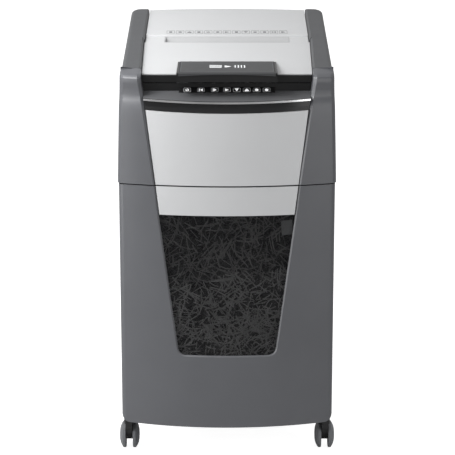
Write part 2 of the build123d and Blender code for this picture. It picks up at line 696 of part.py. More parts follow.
def lid_arm(side):
    top = [(y, lid_z(y) + ARM_PROUD) for y in (ARM_FRONT_Y, REAR_Y)]
    low = [(REAR_Y, seam_z(REAR_Y) + 1), (ARM_FRONT_Y, seam_z(ARM_FRONT_Y) + 1)]
    outer = side_prism(top + low, 140, 200)
    outer &= extrude(plan(ARM_FRONT_HALF, ARM_REAR_HALF, -200, REAR_Y, 2, REAR_R), 900)
    crest = outer.edges().filter_by(lambda e: e.center().X > 178 and e.center().Z > lid_z(e.center().Y) + 6)
    outer = fillet([e for e in crest if e.length > 20], 8.0)
    outer = outer - lid_block(ARM_GAP) - arm_bevel_wedge()
    hollow = [(ARM_FRONT_Y + 3, seam_z(ARM_FRONT_Y)), (REAR_Y - 3, seam_z(REAR_Y))]
    hollow += [(REAR_Y - 3, lid_z(REAR_Y) + 1), (ARM_FRONT_Y + 3, lid_z(ARM_FRONT_Y + 3) + 2)]
    arm = outer - side_prism(hollow, LID_WIDE_HALF + 5.0, 181)
    return arm if side > 0 else mirror(arm, Plane.YZ)


def lip_arch(top):
    """A wide cylinder along Y whose crest gives the tab and its lip their arched edge."""
    return Pos(0, -180, top - LIP_ARCH_R) * Rot(90, 0, 0) * Cylinder(LIP_ARCH_R, 80)


def lid_skirt():
    """Black wall under the lid's front edge, with the lip and cheeks that carry the tab."""
    skirt = block(-149.5, 149.5, BELT_Y, BELT_Y + 3, 684.2, 693.4)
    edge_z = LID_FRONT_Z - SKIN - 0.3
    lip = [(BELT_Y + 1, LIP_BOTTOM), (-192, LIP_BOTTOM), (-198.5, 690), (-199.5, LIP_TOP), (-196, LIP_TOP)]
    lip += [(-195, 690.5), (BELT_Y + 1, 690.5)]
    skirt += side_prism(lip, -CHEEK_HALF, CHEEK_HALF) & lip_arch(LIP_TOP)
    cheek = [(TAB_REAR_Y, TAB_REAR_Z - 0.7), (-196, TAB_FRONT_Z - 0.7), (-199.5, TAB_FRONT_Z - 2.4)]
    cheek += [(-199.5, 691), (-192, LIP_BOTTOM), (-158, LIP_BOTTOM), (-150, 694.8), (TAB_REAR_Y, 705.5)]
    for sx in (-1, 1):
        near, far = sx * (TAB_HALF + 0.3), sx * CHEEK_HALF
        skirt += side_prism(cheek, min(near, far), max(near, far))
        outer = sx * 149.5
        skirt += block(min(near, outer), max(near, outer), BELT_Y, BELT_Y + 3, 693, edge_z)
        skirt += block(min(far, outer), max(far, outer), BELT_Y + 1, -150.5, edge_z - 2.3, edge_z)
    return skirt


def lid_tab():
    """The grip plate: it fills the pocket in the lid and curls down over the lip."""
    points = [(TAB_REAR_Y, TAB_REAR_Z), (-196, TAB_FRONT_Z), (-200.5, TAB_FRONT_Z - 1.6), (-201, 699.6)]
    points += [(-199.9, 699.6), (-199.9, 703.6), (-196, 703.2), (-150, 694.4), (TAB_REAR_Y, 705.2)]
    tab = side_prism(points, -TAB_HALF, TAB_HALF)
    tab -= lip_arch(LIP_TOP + 0.3) & block(-90, 90, -230, -196, 690, 720)
    corners = tab.edges().filter_by(Axis.Z).filter_by(lambda e: e.center().Y > TAB_REAR_Y - 1)
    return fillet(corners, TAB_CORNER_R)


def lid_liner():
    liner = lid_strip(-149, 212.5, -SKIN - 0.3, -SKIN - 2.8, -LID_HALF, LID_HALF)
    liner += block(-LID_HALF, LID_HALF, 209.5, 212.5, SEAM_REAR_Z + 2, 771)
    liner -= slot_cut(0.5, 57)
    liner -= tab_pocket(0.3)
    for x, y in post_places():
        liner += z_rod(x, y, 3.5, PLATE_Z + 0.5, lid_z(y) - 4)
        liner += z_rod(x, y, 11.0, 715.3, 717.3)
    for sx in (-1, 1):
        centre = sx * 110
        lug = side_prism([(209.5, SEAM_REAR_Z + 6), (HINGE_Y + 4, SEAM_REAR_Z + 6), (HINGE_Y + 5, HINGE_Z),
                          (HINGE_Y, HINGE_Z - 5.5), (HINGE_Y - 5, HINGE_Z), (HINGE_Y - 5, SEAM_REAR_Z + 2),
                          (209.5, SEAM_REAR_Z + 2)], centre - 10, centre + 10)
        liner += lug
        liner -= x_rod((HINGE_Y, HINGE_Z), HINGE_PIN_R + FIT, centre - 12, centre + 12)
    return liner


def post_places():
    return [(x, y) for x in (-80, 80) for y in (-32, 86)]


def plate_springs():
    springs = []
    for x, y in post_places():
        helix = Helix(pitch=6.0, height=33.0, radius=9.0, center=(x, y, PLATE_Z + 5))
        wire = sweep(Plane(helix @ 0, z_dir=helix % 0) * Circle(0.8), path=helix)
        springs.append(wire)
    return springs


def pressure_plate():
    plate = block(-98, 98, -58, 112, PLATE_Z, PLATE_Z + 3)
    plate -= block(-90, 90, SLOT_Y - 10, SLOT_Y + 10, 660, 690)
    for x, y in post_places():
        plate += z_rod(x, y, 6.5, PLATE_Z + 2, PLATE_Z + 15)
    for x, y in post_places():
        plate -= z_rod(x, y, 3.5 + 0.3, 660, 700)
    return plate


def lid_hinge():
    """Fixed hinge brackets on the rear wall, each with its pin."""
    brackets = []
    for centre in (-110, 110):
        bracket = block(centre - 22, centre + 22, REAR_Y, REAR_Y + 2.5, HINGE_Z - 28, HINGE_Z - 7)
        for x0 in (centre - 22, centre + 10.5):
            points = [(REAR_Y, HINGE_Z - 18), (HINGE_Y + 5, HINGE_Z - 7), (HINGE_Y + 5, HINGE_Z + 3),
                      (HINGE_Y - 4.5, HINGE_Z + 3), (REAR_Y, HINGE_Z - 7)]
            bracket += side_prism(points, x0, x0 + 11.5)
        bracket += x_rod((HINGE_Y, HINGE_Z), HINGE_PIN_R, centre - 22, centre + 22)
        brackets.append(bracket)
    return brackets


# ---------------------------------------------------------------- casters and fasteners
def caster_hood(x, y):
    axle = (y + TRAIL, WHEEL_R)
    body = side_prism([(y - 9, 60), (y + 9, 60), (y + TRAIL + 22, 44), (y + TRAIL + 24, 34),
                       (y + TRAIL + 8, 18), (y + TRAIL - 8, 18), (y - 9, 46)], x - 5.9, x + 5.9)
    body += z_rod(x, y, 9.0, 52.5, 62.0)
    body += z_rod(x, y, STEM_R, 60, 96)
    return body - x_rod(axle, 3.0 + FIT, x - 20, x + 20)


def caster_wheels(x, y):
    axle = (y + TRAIL, WHEEL_R)
    wheels = []
    inner = WHEEL_GAP / 2
    outer = inner + WHEEL_T
    edges = [
        Polyline((inner, 0), (inner, WHEEL_R - 0.8), (inner + 0.8, WHEEL_R), (inner + 5, WHEEL_R)),
        ThreePointArc((inner + 5, WHEEL_R), (outer - 1.5, WHEEL_R * 0.64), (outer, 5.0)),
        Polyline((outer, 5.0), (outer, 0), (inner, 0)),
    ]
    wheel = revolve(make_face(edges), Axis.X)
    for solid in (mirror(wheel, Plane.YZ), wheel):
        placed = Pos(x, axle[0], axle[1]) * solid
        wheels.append(placed - x_rod(axle, 3.0, x - inner - 7, x + inner + 7))
    return wheels


def caster_axle(x, y):
    reach = WHEEL_GAP / 2 + 7
    return x_rod((y + TRAIL, WHEEL_R), 3.0, x - reach, x + reach)


def chassis_screws():
    """Pan-head screws at the rear wall, each in a shallow seat on the surface."""
    screws = []
    for x in (-160, 160):
        for z in (90, 300, 488, 526, 670):
            head = Pos(x, REAR_Y + 1.0, z) * Rot(90, 0, 0) * Cylinder(4.0, 2.0)
            slot = block(x - 3, x + 3, REAR_Y + 1.2, REAR_Y + 3, z - 0.5, z + 0.5)
            cross = block(x - 0.5, x + 0.5, REAR_Y + 1.2, REAR_Y + 3, z - 3, z + 3)
            screws.append(head - slot - cross)
    return screws


# ---------------------------------------------------------------- write the nodes
os.makedirs("parts", exist_ok=True)
front_gears, rear_gears, reduction_gear, motor_pinion, roller_gear_front, roller_gear_rear = gears()

nodes = {
    "cabinet_shell": cabinet_shell(),
    "cabinet_base": cabinet_base(),
    "cabinet_deck": cabinet_deck(),
    "head_housing": head_housing(),
    "front_fascia": front_fascia(),
    "front_ledge": front_ledge(),
    "ledge_trim": ledge_trim(),
    "black_trim": black_trim(),
    "control_belt": control_belt(),
    "control_panel": control_panel(),
    "control_board": control_board(),
    "paper_tray": paper_tray(),
    "cutter_side_plates": side_plates(),
    "tie_rods": tie_rods(),
    "shaft_bushes": shaft_bushes(),
    "cutter_combs": cutter_combs(),
    "motor": motor(),
    "power_board": power_board(),
    "mains_inlet": mains_inlet(),
    "lid_hinge_brackets": lid_hinge(),
    "chassis_screws": chassis_screws(),
    "lid_front_panel": lid_front_panel(),
    "lid_rear_panel": lid_rear_panel(),
    "slot_insert": slot_insert(),
    "lid_arm_left": lid_arm(-1),
    "lid_arm_right": lid_arm(1),
    "lid_skirt": lid_skirt(),
    "lid_tab": lid_tab(),
    "lid_liner": lid_liner(),
    "plate_springs": plate_springs(),
    "pressure_plate": pressure_plate(),
    "bin_front": bin_front(),
    "bin_strip": bin_strip(),
    "bin_window": bin_window(),
    "bin_tub": bin_tub(),
    "power_rocker": power_rocker(),
    "cutter_front": cutter(FRONT_AXIS, 0.0, 160, 151),
    "cutter_rear": cutter(REAR_AXIS, DISC_PITCH / 2, 146, 165),
    "front_cutter_gears": front_gears,
    "rear_cutter_gears": rear_gears,
    "reduction_gear": reduction_gear,
    "motor_pinion": motor_pinion,
    "feed_shaft_front": feed_shaft(FRONT_ROLLER, 146),
    "feed_shaft_rear": feed_shaft(REAR_ROLLER, 160),
    "feed_gear_front": roller_gear_front,
    "feed_gear_rear": roller_gear_rear,
    "feed_tyres_front": feed_tyres(FRONT_ROLLER),
    "feed_tyres_rear": feed_tyres(REAR_ROLLER),
}
for label, (x, y) in zip(("rear_left", "front_left", "rear_right", "front_right"),
                         [(-CASTER_X, CASTER_REAR_Y), (-CASTER_X, CASTER_FRONT_Y),
                          (CASTER_X, CASTER_REAR_Y), (CASTER_X, CASTER_FRONT_Y)]):
    nodes[f"caster_hood_{label}"] = caster_hood(x, y)
    nodes[f"caster_wheels_{label}"] = caster_wheels(x, y)
    nodes[f"caster_axle_{label}"] = caster_axle(x, y)

for name, shape in nodes.items():
    save(name, shape)
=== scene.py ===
import json
import math
import random

import bmesh
import bpy
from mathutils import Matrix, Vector


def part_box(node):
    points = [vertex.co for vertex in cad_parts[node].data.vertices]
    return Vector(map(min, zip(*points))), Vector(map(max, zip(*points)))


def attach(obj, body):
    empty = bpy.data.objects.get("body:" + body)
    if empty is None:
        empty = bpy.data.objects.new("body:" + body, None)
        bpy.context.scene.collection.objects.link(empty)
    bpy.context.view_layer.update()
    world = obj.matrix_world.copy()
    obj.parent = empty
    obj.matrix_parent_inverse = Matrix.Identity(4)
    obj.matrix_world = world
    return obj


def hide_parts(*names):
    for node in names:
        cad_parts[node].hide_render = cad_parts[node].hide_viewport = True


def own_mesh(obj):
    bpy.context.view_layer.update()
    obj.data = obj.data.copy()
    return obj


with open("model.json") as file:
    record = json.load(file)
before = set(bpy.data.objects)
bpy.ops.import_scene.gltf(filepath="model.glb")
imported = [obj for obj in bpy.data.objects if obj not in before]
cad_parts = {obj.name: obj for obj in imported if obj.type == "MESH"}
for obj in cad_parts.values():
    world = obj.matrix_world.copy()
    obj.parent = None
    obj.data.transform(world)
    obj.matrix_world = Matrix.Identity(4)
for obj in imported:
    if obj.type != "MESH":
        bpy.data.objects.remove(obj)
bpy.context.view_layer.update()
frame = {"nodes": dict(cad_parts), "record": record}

# A free-standing office paper shredder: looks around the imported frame, in metres.
scene = bpy.context.scene

# ---------------------------------------------------------------- sizes shared with the frame
BODY_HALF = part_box("bin_front")[1].x
FRONT_Y = -0.189
BULGE = 0.036
REAR_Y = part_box("cabinet_shell")[1].y
ARC_R = (BODY_HALF ** 2 + BULGE ** 2) / (2 * BULGE)
HEAD_BOTTOM = 0.510
CORNER_WIDTH = 0.0066        # the soft front corner, from its crease to the side wall
CORNER_DEPTH = 0.012
CORNER_TURN = math.radians(42)
REAR_R = 0.020
SHELL_WALL = 0.0026
ARM_FRONT_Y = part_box("lid_arm_left")[0].y - 0.0012
SEAM_FRONT_Z = 0.700
SEAM_REAR_Z = 0.7075
# Height, set-back of the bowed front, half width.
HEAD_LEVELS = [
    (0.510, 0.0, 0.1937), (0.575, 0.0001, 0.1920), (0.612, 0.0002, 0.1909), (0.630, 0.0006, 0.1904),
    (0.642, 0.0015, 0.1901), (0.650, 0.0030, 0.1898), (0.656, 0.0052, 0.1896), (0.661, 0.0077, 0.1894),
    (0.666, 0.0092, 0.1893), (0.672, 0.0090, 0.1891), (0.682, 0.0072, 0.1887), (0.690, 0.0059, 0.1885),
    (0.6945, 0.0063, 0.1884), (0.6985, 0.0092, 0.1883), (0.702, 0.0165, 0.1882), (0.705, 0.0310, 0.1881),
    (0.7085, 0.0500, 0.1880),
]
SHOULDER_TOP = HEAD_LEVELS[-1][0]
HEAD_STEPS = 76
SHOULDER_STEPS = 12
LEVEL_GAP = 0.0008           # a regular level this close to an opening's edge is left out
# Half width and height along the tapering front opening.
OPENING = [
    (0.0860, 0.200), (0.1203, 0.455), (0.1268, 0.508),
    (0.1432, 0.640), (0.1506, 0.690), (0.1520, 0.715),
]
# The mains inlet and five vent slots in the rear wall: x from, x to, z from, z to.
REAR_OPENINGS = [(-0.151, -0.099, 0.544, 0.576)]
REAR_OPENINGS += [(0.040, 0.130, 0.560 + 0.009 * row, 0.564 + 0.009 * row) for row in range(5)]
REAR_COLUMNS = (0.151, 0.130, 0.099, 0.070, 0.040, 0.0)
LIFT_START = 0.62            # above this the side walls rise to the sloping lid seam
CHAMFER_LOW = 0.0026
CHAMFER_HIGH = 0.0058
# Points in the middle plane are y, z.
LID_FRONT = (-0.152, 0.6997)
LID_SLOPE = 0.21
TAB_TOP_FRONT = (-0.195, 0.7067)
TAB_TOP_REAR = (-0.095, 0.714)
PANEL_TOP = (-0.1604, 0.676)
PANEL_FOOT = (-0.171, 0.6686)
MARK_HEIGHT = 0.0002
MERGE_DISTANCE = 2e-5
THIN_EDGE = 1e-5


# ---------------------------------------------------------------- small helpers
def table_value(table, key, column, level_column=0):
    """Smooth interpolation of one column of a table against its height column."""
    rows = sorted(table, key=lambda row: row[level_column])
    if key <= rows[0][level_column]:
        return rows[0][column]
    if key >= rows[-1][level_column]:
        return rows[-1][column]
    spans = list(zip(rows, rows[1:]))
    index = next(i for i, (a, b) in enumerate(spans) if key <= b[level_column])
    slopes = [(b[column] - a[column]) / (b[level_column] - a[level_column]) for a, b in spans]

    def tangent(i):
        if i == 0:
            return slopes[0]
        if i == len(rows) - 1:
            return slopes[-1]
        s0, s1 = slopes[i - 1], slopes[i]
        return 0.0 if s0 * s1 <= 0 else 2 * s0 * s1 / (s0 + s1)

    a, b = spans[index]
    width = b[level_column] - a[level_column]
    t = (key - a[level_column]) / width
    h00, h10 = 2 * t ** 3 - 3 * t ** 2 + 1, t ** 3 - 2 * t ** 2 + t
    h01, h11 = -2 * t ** 3 + 3 * t ** 2, t ** 3 - t ** 2
    return (h00 * a[column] + h10 * width * tangent(index)
            + h01 * b[column] + h11 * width * tangent(index + 1))


def opening_half(z):
    """Half width of the tapering front opening."""
    for (w0, z0), (w1, z1) in zip(OPENING, OPENING[1:]):
        if z <= z1:
            return w0 + (w1 - w0) * (z - z0) / (z1 - z0)
    return OPENING[-1][0]


def chamfer(z):
    """Width of the chamfer along the opening, which grows up the head."""
    t = (z - HEAD_BOTTOM) / (SEAM_FRONT_Z - HEAD_BOTTOM)
    return CHAMFER_LOW + (CHAMFER_HIGH - CHAMFER_LOW) * max(0.0, min(1.0, t))


def front_y(x, back=0.0, half=BODY_HALF):
    """The bowed front at a distance x from the middle, set back from the front."""
    bulge = ARC_R - math.sqrt(ARC_R ** 2 - half ** 2)
    centre = FRONT_Y + back - bulge + ARC_R
    return centre - math.sqrt(ARC_R ** 2 - x ** 2)


def seam_z(y):
    """Height of the seam between the head and the lid's side arms."""
    return SEAM_FRONT_Z + (SEAM_REAR_Z - SEAM_FRONT_Z) * (y - ARM_FRONT_Y) / (REAR_Y - ARM_FRONT_Y)


def new_object(name, verts, faces, sharp=35.0):
    """A mesh object with its edges sharp above an angle and smooth below it."""
    mesh = bpy.data.meshes.new(name)
    bm = bmesh.new()
    made = [bm.verts.new(v) for v in verts]
    for face in faces:
        try:
            bm.faces.new([made[i] for i in face])
        except ValueError:
            continue
    bmesh.ops.remove_doubles(bm, verts=bm.verts, dist=MERGE_DISTANCE)
    bmesh.ops.dissolve_degenerate(bm, edges=bm.edges, dist=THIN_EDGE)
    bmesh.ops.recalc_face_normals(bm, faces=bm.faces)
    mark_sharp(bm, sharp)
    bm.to_mesh(mesh)
    bm.free()
    obj = bpy.data.objects.new(name, mesh)
    scene.collection.objects.link(obj)
    return obj


def mark_sharp(bm, degrees):
    """Smooth faces, with an edge kept sharp where it turns more than the angle."""
    for face in bm.faces:
        face.smooth = True
    for edge in bm.edges:
        angle = edge.calc_face_angle(None)
        edge.smooth = angle is not None and angle < math.radians(degrees)


def grid_faces(columns, rows):
    """Quads of a grid whose points are listed row by row."""
    faces = []
    for j in range(rows):
        for i in range(columns):
            a = j * (columns + 1) + i
            faces.append((a, a + 1, a + columns + 2, a + columns + 1))
    return faces


def piece(obj, body, material):
    """Give an object its one material and let it ride on a body."""
    obj.data.materials.clear()
    obj.data.materials.append(material)
    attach(obj, body)
    return obj


# ---------------------------------------------------------------- materials
def base_material(name):
    """A new material with its node tree and shader."""
    material = bpy.data.materials.new(name)
    material.use_nodes = True
    tree = material.node_tree
    shader = tree.nodes["Principled BSDF"]
    return material, tree, shader


def noise(tree, scale, detail=3.0, roughness=0.55, stretch=(1, 1, 1)):
    """Noise in object space, so that it sits still on the part."""
    coords = tree.nodes.new("ShaderNodeTexCoord")
    mapping = tree.nodes.new("ShaderNodeMapping")
    mapping.inputs["Scale"].default_value = stretch
    texture = tree.nodes.new("ShaderNodeTexNoise")
    texture.inputs["Scale"].default_value = scale
    texture.inputs["Detail"].default_value = detail
    texture.inputs["Roughness"].default_value = roughness
    tree.links.new(coords.outputs["Object"], mapping.inputs["Vector"])
    tree.links.new(mapping.outputs["Vector"], texture.inputs["Vector"])
    return texture


def ramp(tree, source, low, high, start=0.35, end=0.65):
    """A colour that drifts between two with a texture."""
    node = tree.nodes.new("ShaderNodeValToRGB")
    node.color_ramp.elements[0].position = start
    node.color_ramp.elements[1].position = end
    node.color_ramp.elements[0].color = (*low, 1)
    node.color_ramp.elements[1].color = (*high, 1)
    tree.links.new(source.outputs["Fac"], node.inputs["Fac"])
    return node


def spread(tree, source, low, high):
    """A number that drifts between two with a texture."""
    node = tree.nodes.new("ShaderNodeMapRange")
    node.inputs["To Min"].default_value = low
    node.inputs["To Max"].default_value = high
    tree.links.new(source.outputs["Fac"], node.inputs["Value"])
    return node


def bump(tree, shader, source, strength, distance=0.0004):
    node = tree.nodes.new("ShaderNodeBump")
    node.inputs["Strength"].default_value = strength
    node.inputs["Distance"].default_value = distance
    tree.links.new(source.outputs["Fac"], node.inputs["Height"])
    tree.links.new(node.outputs["Normal"], shader.inputs["Normal"])
    return node


def plastic(name, colour, rough, grain=900.0, grain_strength=0.12, vary=0.06, specular=0.4, metallic=0.0):
    """Moulded plastic: slow colour drift, fine spark-eroded grain, rubbed patches in the gloss."""
    material, tree, shader = base_material(name)
    drift = noise(tree, 7.0, 4.0)
    low = tuple(c * (1 - vary) for c in colour)
    high = tuple(min(1.0, c * (1 + vary)) for c in colour)
    tree.links.new(ramp(tree, drift, low, high).outputs["Color"], shader.inputs["Base Color"])
    rubbed = noise(tree, 24.0, 6.0, 0.7, stretch=(1, 1, 2.5))
    gloss = spread(tree, rubbed, rough - 0.05, rough + 0.07)
    tree.links.new(gloss.outputs["Result"], shader.inputs["Roughness"])
    bump(tree, shader, noise(tree, grain, 2.0), grain_strength, 0.0002)
    shader.inputs["Metallic"].default_value = metallic
    shader.inputs["Specular IOR Level"].default_value = specular
    return material


def lit(name, colour, strength):
    """White print that glows a little unevenly: painted light that keeps the signs white where the
    sloping panel lies in shade.
    """
    material = plastic(name, colour, 0.40, 600.0, 0.02, 0.02)
    tree = material.node_tree
    shader = tree.nodes["Principled BSDF"]
    glow = spread(tree, noise(tree, 120.0), strength * 0.9, strength * 1.1)
    tree.links.new(glow.outputs["Result"], shader.inputs["Emission Strength"])
    shader.inputs["Emission Color"].default_value = (1, 1, 1, 1)
    return material


def metal(name, colour, rough, stretch=(1, 30, 30), grain=60.0):
    """Metal with drawn or rolled lines that vary its colour, gloss and relief."""
    material, tree, shader = base_material(name)
    lines = noise(tree, grain, 4.0, stretch=stretch)
    low = tuple(c * 0.86 for c in colour)
    tree.links.new(ramp(tree, lines, low, colour).outputs["Color"], shader.inputs["Base Color"])
    dull = spread(tree, lines, rough - 0.06, rough + 0.1)
    tree.links.new(dull.outputs["Result"], shader.inputs["Roughness"])
    bump(tree, shader, lines, 0.08, 0.0002)
    shader.inputs["Metallic"].default_value = 1.0
    return material


def smoked_glass(name):
    """Smoked clear plastic: half see-through, dark, with a polished face and a faint haze."""
    material, tree, shader = base_material(name)
    haze = noise(tree, 9.0, 3.0)
    tint = ramp(tree, haze, (0.006, 0.006, 0.007), (0.012, 0.012, 0.013))
    tree.links.new(tint.outputs["Color"], shader.inputs["Base Color"])
    polish = spread(tree, noise(tree, 40.0), 0.10, 0.16)
    tree.links.new(polish.outputs["Result"], shader.inputs["Roughness"])
    bump(tree, shader, noise(tree, 14.0, 2.0), 0.03, 0.0004)
    shader.inputs["Alpha"].default_value = 0.50
    shader.inputs["Specular IOR Level"].default_value = 0.18
    return material


def paper(name, colour, vary=0.22):
    """Office paper: matt, slightly uneven from sheet to sheet, with a fibrous surface."""
    material, tree, shader = base_material(name)
    sheets = noise(tree, 60.0, 2.0)
    low = tuple(c * (1 - vary) for c in colour)
    tree.links.new(ramp(tree, sheets, low, colour).outputs["Color"], shader.inputs["Base Color"])
    dull = spread(tree, noise(tree, 90.0), 0.78, 0.92)
    tree.links.new(dull.outputs["Result"], shader.inputs["Roughness"])
    bump(tree, shader, noise(tree, 1500.0, 3.0), 0.2, 0.0001)
    shader.inputs["Specular IOR Level"].default_value = 0.2
    return material


body_plastic = plastic("body_plastic", (0.094, 0.0965, 0.105), 0.34, 1400.0, 0.06, 0.04, 0.45)
# Darker copy of the body plastic: painted shade on the lid's arms.
arm_plastic_painted_shade = plastic("arm_plastic_painted_shade", (0.062, 0.064, 0.068), 0.34, 1400.0, 0.06, 0.04, 0.50)
tab_plastic = plastic("tab_plastic", (0.041, 0.042, 0.044), 0.40, 1400.0, 0.10, 0.03, 0.30)
# Lighter copy of the tab plastic: painted light on the ledge, which lies in the tab's shadow.
ledge_plastic_painted_light = plastic("ledge_plastic_painted_light", (0.092, 0.094, 0.098), 0.42, 1400.0, 0.10, 0.03, 0.25)
silver = plastic("silver_plastic", (0.525, 0.530, 0.537), 0.42, 2600.0, 0.05, 0.012, 0.35, 0.14)
# Darker copy of the silver: painted shade that tones down the slot insert's brightly lit rear slope.
slot_silver_painted_shade = plastic("slot_silver_painted_shade", (0.42, 0.424, 0.430), 0.44, 2600.0, 0.05, 0.02, 0.30, 0.25)
black_gloss = plastic("black_gloss", (0.014, 0.014, 0.0145), 0.18, 300.0, 0.01, 0.10, 0.32)
dark_plastic = plastic("dark_plastic", (0.022, 0.022, 0.023), 0.48, 1200.0, 0.15, 0.10, 0.25)
wheel_plastic = plastic("wheel_plastic", (0.140, 0.144, 0.152), 0.38, 700.0, 0.08, 0.06, 0.35)
gear_nylon = plastic("gear_nylon", (0.72, 0.70, 0.62), 0.45, 500.0, 0.06, 0.04)
rubber = plastic("roller_rubber", (0.03, 0.03, 0.03), 0.75, 500.0, 0.35, 0.15, 0.2)
board_green = plastic("board_green", (0.02, 0.13, 0.05), 0.35, 300.0, 0.15, 0.12)
chrome = metal("chrome_trim", (0.78, 0.78, 0.79), 0.20, (1, 1, 1), 20.0)
steel = metal("steel", (0.56, 0.56, 0.57), 0.30)
zinc = metal("zinc_steel", (0.60, 0.61, 0.60), 0.38, (4, 4, 4), 30.0)
bronze = metal("bronze", (0.62, 0.44, 0.24), 0.36)
window_smoke = smoked_glass("smoked_window")
paper_near = paper("paper_near", (0.78, 0.78, 0.77))
# The next two are darker copies of the same paper: painted shade for strips that lie deeper in the pile
# or high behind the window.
paper_far_painted_shade = paper("paper_far_painted_shade", (0.50, 0.50, 0.49))
paper_packed_painted_shade = paper("paper_packed_painted_shade", (0.21, 0.21, 0.207), 0.6)
# A near-black copy of the paper: painted shadow for the depth behind the loose strips.
paper_core_painted_shadow = paper("paper_core_painted_shadow", (0.040, 0.040, 0.040), 0.55)
icon_white = plastic("icon_white", (0.85, 0.86, 0.87), 0.40, 600.0, 0.02, 0.02)
# Glowing copy of the white print: painted light on the touch-key signs, which sit on a shaded sloping
# panel.
key_white_painted_glow = lit("key_white_painted_glow", (0.85, 0.86, 0.87), 0.65)
# Grey print for the lid's signs, also used for the painted highlight lines on the grip tab.
print_and_highlight_grey = plastic("print_and_highlight_grey", (0.12, 0.125, 0.13), 0.45, 600.0, 0.02, 0.04)
label_grey = plastic("label_grey", (0.62, 0.63, 0.64), 0.55, 900.0, 0.05, 0.08)

MATERIALS = {
    "body_plastic": body_plastic, "silver_plastic": silver, "black_gloss": black_gloss,
    "tab_plastic": tab_plastic, "dark_plastic": dark_plastic, "chrome_trim": chrome,
    "smoked_window": window_smoke, "steel": steel, "zinc_steel": zinc, "bronze": bronze,
    "gear_nylon": gear_nylon, "roller_rubber": rubber, "wheel_plastic": wheel_plastic,
    "board_green": board_green,
}

# Nodes given lighter or darker copies of their slot's plastic: painted shade on the lid's arms and on the
# slot insert, painted light on the ledge that the tab shades.
PAINTED_LIGHT_COPIES = {
    "lid_arm_left": arm_plastic_painted_shade, "lid_arm_right": arm_plastic_painted_shade,
    "front_ledge": ledge_plastic_painted_light, "slot_insert": slot_silver_painted_shade,
}

for entry in frame["record"]["subparts"]:
    node = frame["nodes"][entry["node"]]
    material = PAINTED_LIGHT_COPIES.get(entry["node"], MATERIALS[entry["material_slot"]])
    node.data.materials.clear()
    node.data.materials.append(material)


# ---------------------------------------------------------------- head shell
def head_outline(z, back, half):
    """Right half of the head's outline at a height, from inside the opening to the rear middle."""
    w = opening_half(z)
    start = w + chamfer(z)
    crease = half - CORNER_WIDTH
    edge_y = front_y(start, back, half)
    points = [(w, ARM_FRONT_Y + 0.001), (w, (ARM_FRONT_Y + edge_y) / 2)]
    points.append((w, min(edge_y + 0.7 * chamfer(z), ARM_FRONT_Y)))
    for i in range(9):
        x = start + (crease - start) * i / 8
        points.append((x, front_y(x, back, half)))
    crease_y = points[-1][1]
    turn_y = crease_y + CORNER_WIDTH * math.tan(CORNER_TURN)
    cy = crease_y + CORNER_DEPTH
    for i in range(1, 9):
        t = i / 8
        a, b, c = (1 - t) ** 2, 2 * t * (1 - t), t ** 2
        points.append((a * crease + (b + c) * half, a * crease_y + b * turn_y + c * cy))
    for i in range(1, 4):
        points.append((half, cy + (ARM_FRONT_Y - cy) * i / 3))
    front_count = len(points)
    rear_start = REAR_Y - REAR_R
    for i in range(1, 17):
        points.append((half, ARM_FRONT_Y + (rear_start - ARM_FRONT_Y) * i / 16))
    for i in range(1, 9):
        angle = math.pi / 2 * i / 8
        points.append((half - REAR_R + REAR_R * math.cos(angle), rear_start + REAR_R * math.sin(angle)))
    points += [(x, REAR_Y) for x in REAR_COLUMNS]
    return points, front_count


def level_outline(z):
    return head_outline(z, table_value(HEAD_LEVELS, z, 1), table_value(HEAD_LEVELS, z, 2))


def in_rear_opening(corners):
    """Whether a face of the rear wall lies where the inlet or a vent slot is."""
    x = sum(v[0] for v in corners) / 4
    z = sum(v[2] for v in corners) / 4
    on_rear = all(v[1] > REAR_Y - THIN_EDGE for v in corners)
    return on_rear and any(x0 < x < x1 and z0 < z < z1 for x0, x1, z0, z1 in REAR_OPENINGS)


def head_half(side):
    """One half of the head shell: walls up to the seam, then the shoulder in front of the lid."""
    edges = {round(z, 5) for opening in REAR_OPENINGS for z in opening[2:]}
    head_height = SEAM_FRONT_Z - HEAD_BOTTOM
    regular = {round(HEAD_BOTTOM + head_height * i / HEAD_STEPS, 5) for i in range(HEAD_STEPS + 1)}
    low_levels = sorted(edges | {z for z in regular if all(abs(z - e) > LEVEL_GAP for e in edges)})
    shoulder_height = SHOULDER_TOP - SEAM_FRONT_Z
    shoulder_steps = range(1, SHOULDER_STEPS + 1)
    high_levels = [SEAM_FRONT_Z + shoulder_height * i / SHOULDER_STEPS for i in shoulder_steps]
    verts, faces = [], []
    rows = []
    for z in low_levels:
        outline, front_count = level_outline(z)
        row = []
        for x, y in outline:
            lift = 0.0
            if y > ARM_FRONT_Y and x > opening_half(z) + 0.01:
                lift = (seam_z(y) - SEAM_FRONT_Z) * max(0.0, z - LIFT_START) / (SEAM_FRONT_Z - LIFT_START)
            row.append(len(verts))
            verts.append((side * x, y, z + lift))
        rows.append(row)
    shoulder = [rows[-1][:front_count]]
    for z in high_levels:
        outline, front_count = level_outline(z)
        row = []
        for x, y in outline[:front_count]:
            row.append(len(verts))
            verts.append((side * x, min(y, ARM_FRONT_Y), z))
        shoulder.append(row)
    for band in (rows, shoulder):
        for a, b in zip(band, band[1:]):
            for i in range(len(a) - 1):
                quad = (a[i], a[i + 1], b[i + 1], b[i])
                if not in_rear_opening([verts[k] for k in quad]):
                    faces.append(quad)
    for a, b in zip(shoulder, shoulder[1:]):
        faces.append((a[0], a[-1], b[-1], b[0]))
    return verts, faces


